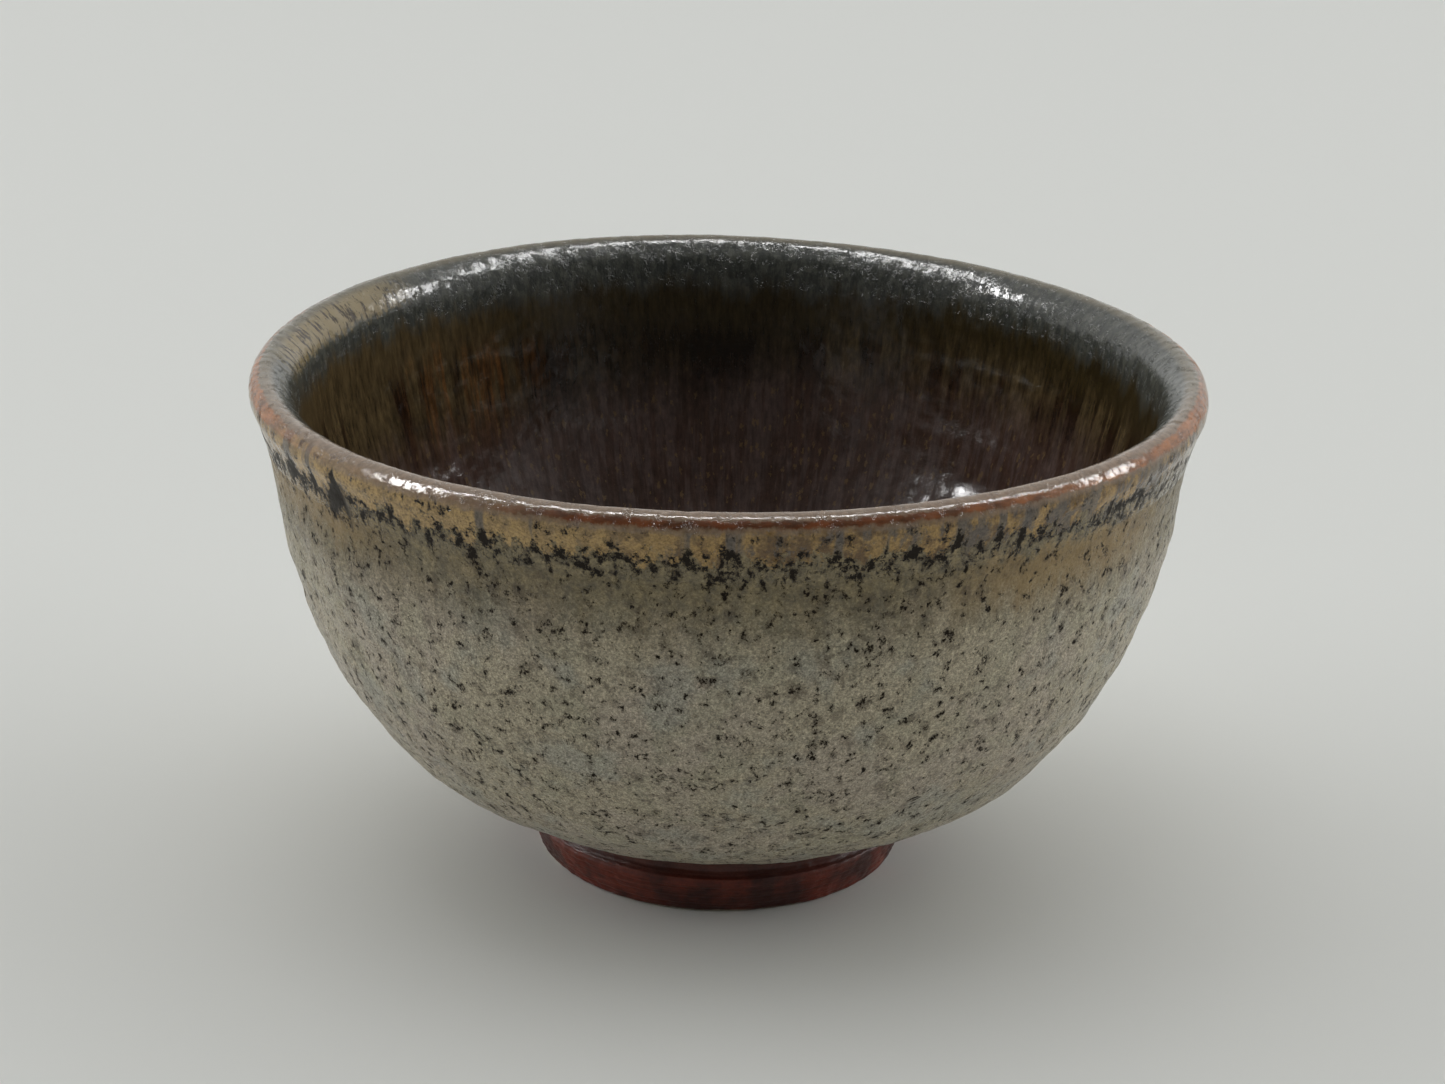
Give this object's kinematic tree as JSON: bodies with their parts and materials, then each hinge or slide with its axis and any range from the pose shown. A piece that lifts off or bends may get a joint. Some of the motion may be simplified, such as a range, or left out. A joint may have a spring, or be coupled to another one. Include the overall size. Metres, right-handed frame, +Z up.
{
  "type": "matcha tea bowl",
  "caption": "Round stoneware tea bowl (chawan) with a flared rounded lip, speckled ash glaze outside, dark iron glaze inside and a bare clay foot ring.",
  "frame": {"origin": "on the table, at the centre of the ring that the foot rests on", "axes": "+Z up along the bowl's axis of turning; +X and +Y in the table plane, with -Y towards the side shown as the front"},
  "size_m": [0.125, 0.125, 0.069],
  "materials": {
    "clay": "bare fired red-brown stoneware, matt",
    "foot_clay": "bare iron-rich fired clay with turning marks, faint sheen",
    "ash_glaze": "semi-gloss grey ash glaze with brown iron specks",
    "rust_glaze": "glossy glaze breaking from rust on the lip to ochre, blue-grey and black runs",
    "iron_glaze": "glossy dark brown to slate iron glaze with fine vertical streaks"
  },
  "bodies": {
    "root": {"clay_body": "clay", "foot_ring": "foot_clay", "outside_glaze": "ash_glaze", "lip_glaze": "rust_glaze", "inside_glaze": "iron_glaze"}
  },
  "joints": []
}
